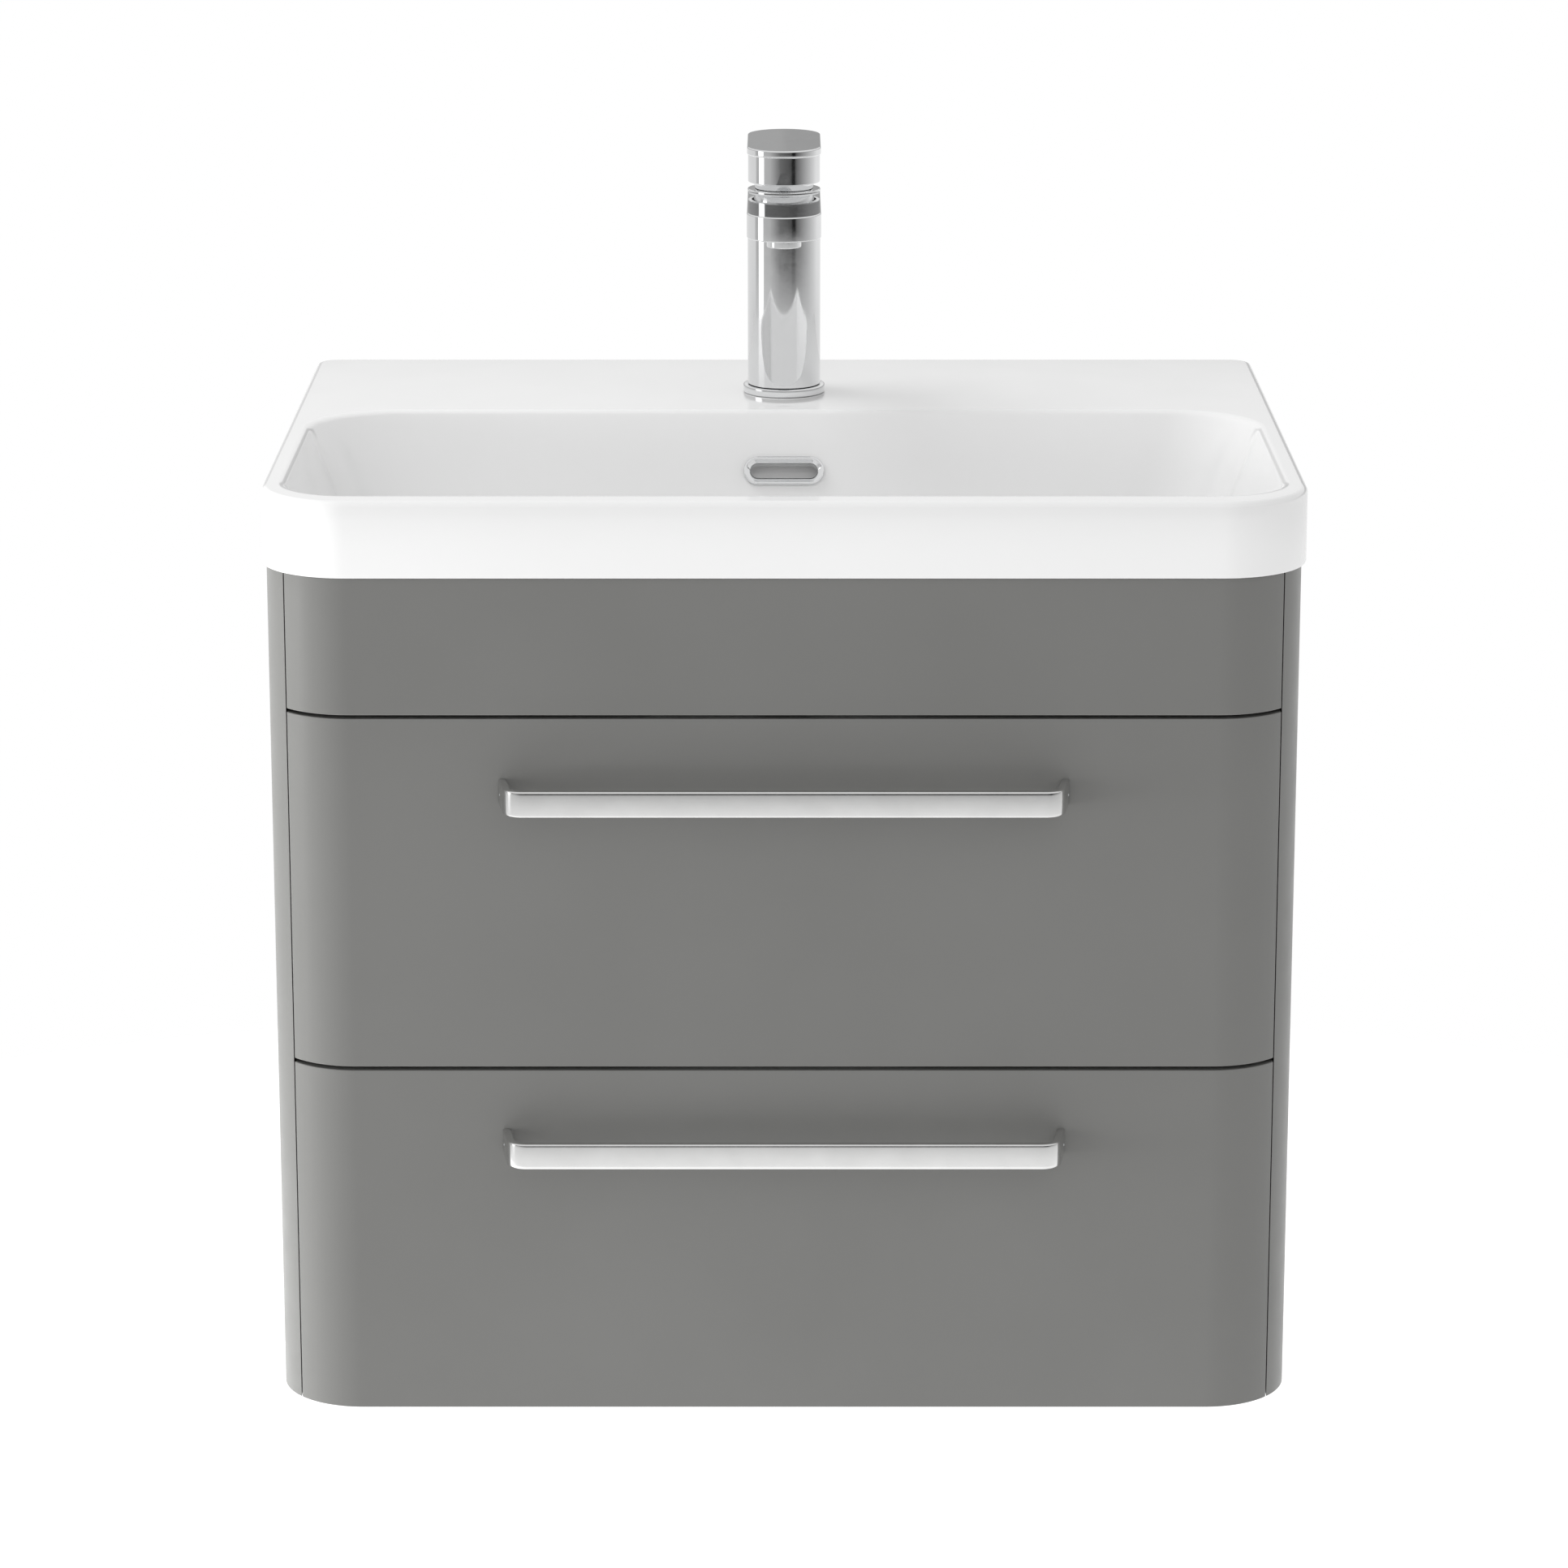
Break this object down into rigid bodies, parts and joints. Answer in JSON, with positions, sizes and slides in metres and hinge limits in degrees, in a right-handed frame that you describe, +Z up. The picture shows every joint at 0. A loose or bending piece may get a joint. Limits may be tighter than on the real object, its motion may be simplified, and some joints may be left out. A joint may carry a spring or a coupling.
{
  "type": "bathroom vanity cabinet",
  "caption": "Wall-hung vanity cabinet with round front corners, pull-out drawers, bow handles, an inset ceramic basin and a single-lever mixer tap.",
  "frame": {"origin": "middle of the hanging rail's wall face, 450 mm above the cabinet's underside", "axes": "+X to the right seen from the front, +Y into the wall, +Z up; the front looks towards -Y"},
  "size_m": [0.605, 0.476, 0.7125],
  "materials": {
    "grey_lacquer": "satin lacquer on board",
    "carcass_board": "matt melamine-faced board",
    "drawer_board": "matt melamine-faced board",
    "glazed_ceramic": "glossy white glaze",
    "chrome": "polished",
    "satin_chrome": "satin",
    "zinc_steel": "zinc plated",
    "brass": "machined",
    "rubber": "matt",
    "white_plastic": "matt"
  },
  "bodies": {
    "carcass": {"basin": "glazed_ceramic", "bottom_panel": "carcass_board", "front_top_rail": "carcass_board", "hanger_left": "zinc_steel", "hanger_right": "zinc_steel", "overflow_ring": "chrome", "rear_hanging_rail": "carcass_board", "rear_lower_rail": "carcass_board", "side_panel_left": "grey_lacquer", "side_panel_right": "grey_lacquer", "slide_cabinet_lower_left": "zinc_steel", "slide_cabinet_lower_right": "zinc_steel", "slide_cabinet_upper_left": "zinc_steel", "slide_cabinet_upper_right": "zinc_steel", "tap_aerator": "satin_chrome", "tap_base_ring": "chrome", "tap_body": "chrome", "tap_cartridge": "white_plastic", "tap_collar": "chrome", "tap_horseshoe_washer": "zinc_steel", "tap_stud": "zinc_steel", "tap_stud_nut": "brass", "top_fascia": "grey_lacquer", "waste_body": "chrome", "waste_nut": "brass", "waste_washer": "rubber"},
    "upper_drawer": {"slide_drawer_upper_left": "zinc_steel", "slide_drawer_upper_right": "zinc_steel", "upper_back_left": "drawer_board", "upper_back_right": "drawer_board", "upper_base": "drawer_board", "upper_cutout_front": "drawer_board", "upper_cutout_left": "drawer_board", "upper_cutout_right": "drawer_board", "upper_front": "grey_lacquer", "upper_handle": "satin_chrome", "upper_handle_screw_left": "zinc_steel", "upper_handle_screw_right": "zinc_steel", "upper_inner_front": "drawer_board", "upper_side_left": "drawer_board", "upper_side_right": "drawer_board"},
    "lower_drawer": {"lower_back": "drawer_board", "lower_base": "drawer_board", "lower_front": "grey_lacquer", "lower_handle": "satin_chrome", "lower_handle_screw_left": "zinc_steel", "lower_handle_screw_right": "zinc_steel", "lower_inner_front": "drawer_board", "lower_side_left": "drawer_board", "lower_side_right": "drawer_board", "slide_drawer_lower_left": "zinc_steel", "slide_drawer_lower_right": "zinc_steel"},
    "upper_slide_middles": {"slide_middle_upper_left": "zinc_steel", "slide_middle_upper_right": "zinc_steel"},
    "lower_slide_middles": {"slide_middle_lower_left": "zinc_steel", "slide_middle_lower_right": "zinc_steel"},
    "lever_swivel": {"tap_carrier": "white_plastic"},
    "lever": {"tap_lever": "chrome", "lever_stem": "zinc_steel"},
    "plug": {"waste_plug": "chrome"}
  },
  "joints": [
    {"name": "upper_drawer_slide", "type": "slide", "parent": "carcass", "child": "upper_drawer", "axis": [0, -1, 0], "range_m": [0, 0.36]},
    {"name": "lower_drawer_slide", "type": "slide", "parent": "carcass", "child": "lower_drawer", "axis": [0, -1, 0], "range_m": [0, 0.36]},
    {"name": "upper_middle_slide", "type": "slide", "parent": "carcass", "child": "upper_slide_middles", "axis": [0, -1, 0], "range_m": [0, 0.18]},
    {"name": "lower_middle_slide", "type": "slide", "parent": "carcass", "child": "lower_slide_middles", "axis": [0, -1, 0], "range_m": [0, 0.18]},
    {"name": "lever_turn", "type": "hinge", "parent": "carcass", "child": "lever_swivel", "pos_m": [0, -0.112, 0.236], "axis": [0, 0, 1], "range_deg": [-45, 45]},
    {"name": "lever_lift", "type": "hinge", "parent": "lever_swivel", "child": "lever", "pos_m": [0, -0.112, 0.236], "axis": [-1, 0, 0], "range_deg": [0, 16]},
    {"name": "plug_lift", "type": "slide", "parent": "carcass", "child": "plug", "axis": [0, 0, 1], "range_m": [0, 0.008]}
  ],
  "couplings": [
    {"joint": "upper_middle_slide", "follows": "upper_drawer_slide", "ratio": 0.5},
    {"joint": "lower_middle_slide", "follows": "lower_drawer_slide", "ratio": 0.5}
  ]
}
